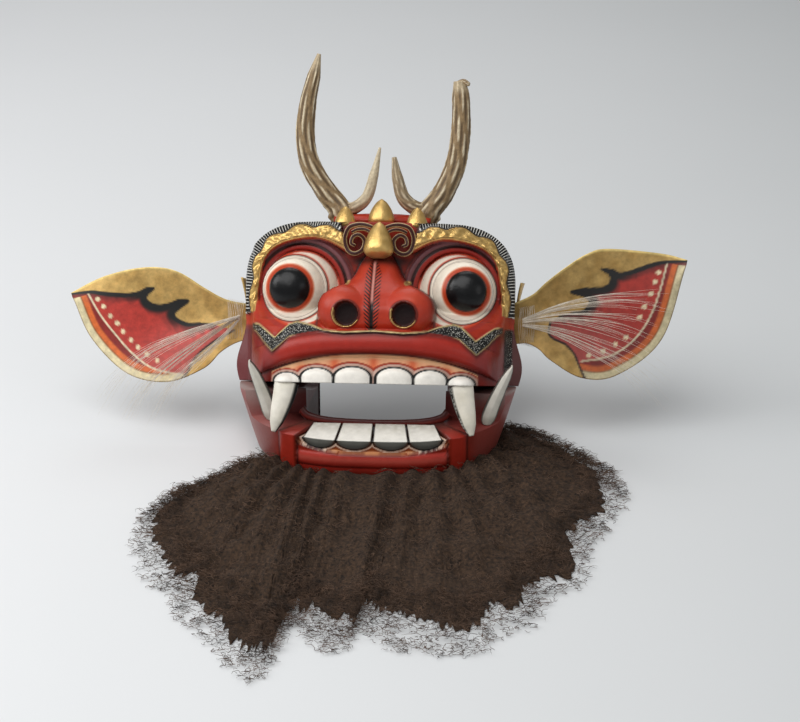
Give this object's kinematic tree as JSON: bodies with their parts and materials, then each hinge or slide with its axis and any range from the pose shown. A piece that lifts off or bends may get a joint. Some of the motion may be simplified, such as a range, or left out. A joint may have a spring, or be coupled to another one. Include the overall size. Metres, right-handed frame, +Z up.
{
  "type": "barong mask",
  "caption": "Carved and painted beast mask with gilded brows, bulging eyes, fangs and tusks, deer antlers, cupped rawhide ears, a hinged lower jaw and a dark hair beard.",
  "frame": {"origin": "on the surface that the jaw stands on, in the middle of the jaw's underside", "axes": "+Z up, the face looks towards -Y, +X is to the right of a viewer in front of the face"},
  "size_m": [0.521, 0.5284, 0.3029],
  "materials": {
    "red_lacquer": "satin-gloss vermilion paint with black, white and gilded detail",
    "ivory_paint": "satin cream paint",
    "antler": "weathered ridged antler",
    "painted_rawhide": "gilded and painted rawhide",
    "gilded_leather": "gilded leather",
    "white_hair": "loose white hair",
    "dark_hair": "matted dark brown hair"
  },
  "bodies": {
    "jaw": {"lower_jaw": "red_lacquer", "beard": "dark_hair", "tusk_left": "ivory_paint", "tusk_right": "ivory_paint"},
    "head": {"mask_face": "red_lacquer", "fang_left": "ivory_paint", "fang_right": "ivory_paint", "antler_left": "antler", "antler_right": "antler", "ear_left": "painted_rawhide", "ear_right": "painted_rawhide", "ear_hair_left": "white_hair", "ear_hair_right": "white_hair", "temple_fin_left": "gilded_leather", "temple_fin_right": "gilded_leather"}
  },
  "joints": [
    {"name": "jaw_hinge", "type": "hinge", "parent": "jaw", "child": "head", "pos_m": [0, 0.056, 0.041], "axis": [-1, 0, 0], "range_deg": [0, 20]}
  ]
}
